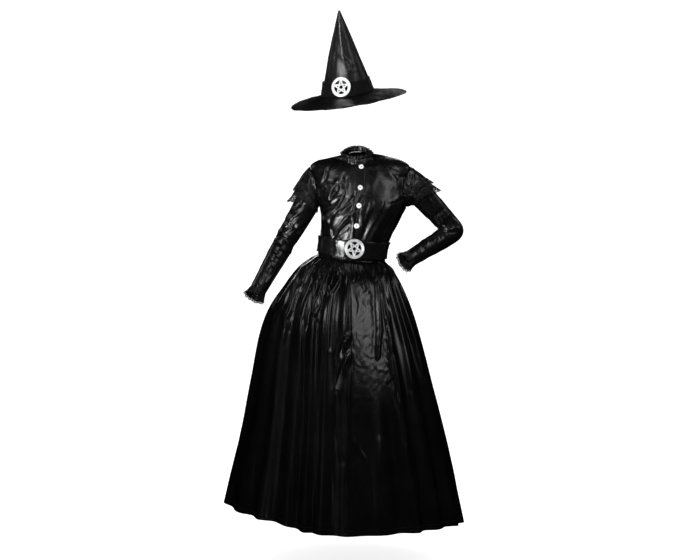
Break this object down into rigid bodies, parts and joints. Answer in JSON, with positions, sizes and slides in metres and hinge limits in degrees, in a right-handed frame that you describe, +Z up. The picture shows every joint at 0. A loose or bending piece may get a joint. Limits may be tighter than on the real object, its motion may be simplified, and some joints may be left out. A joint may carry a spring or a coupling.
{
  "type": "witch costume",
  "caption": "Worn witch costume, no wearer: button-front bodice with stand collar and lace-trimmed sleeves, wide buckled belt, full gathered skirt and a tall pointed hat with a band and buckle.",
  "frame": {"origin": "In the middle of the dress at shoulder height, between the two shoulder seams, where the wearer's shoulders carry it.", "axes": "+Z up, along the standing wearer; -Y is the front of the costume with the buttons; +X is the wearer's left side."},
  "size_m": [0.8418, 0.8535, 1.7616],
  "materials": {
    "bodice_cloth": "black wet-look stretch cloth, glossy, with soft creases",
    "skirt_satin": "black satin, glossy, softly crinkled",
    "lace": "black net lace, matt",
    "belt": "black wet-look stretch band, glossy",
    "silver": "silver-coloured moulded plastic, satin metallic",
    "button": "white moulded plastic, semi-gloss",
    "hat_satin": "black satin over a stiff shell, soft sheen",
    "hat_band": "black velvet-like ribbon, matt"
  },
  "bodies": {
    "root": {"bodice_front_right": "bodice_cloth", "bodice_front_left": "bodice_cloth", "bodice_back": "bodice_cloth", "placket": "bodice_cloth", "button_1": "button", "button_2": "button", "button_3": "button", "button_4": "button", "collar_band": "bodice_cloth", "collar_lace": "lace", "sleeve_right": "bodice_cloth", "cap_sleeve_right": "bodice_cloth", "cap_lace_upper_right": "lace", "cap_lace_lower_right": "lace", "cuff_lace_right": "lace", "sleeve_left": "bodice_cloth", "cap_sleeve_left": "bodice_cloth", "cap_lace_upper_left": "lace", "cap_lace_lower_left": "lace", "cuff_lace_left": "lace", "skirt_front_right": "skirt_satin", "skirt_front_left": "skirt_satin", "skirt_back": "skirt_satin", "belt": "belt", "belt_tab": "belt", "belt_buckle": "silver", "hat_crown": "hat_satin", "hat_brim": "hat_satin", "hat_band": "hat_band", "hat_buckle": "silver"}
  },
  "joints": []
}
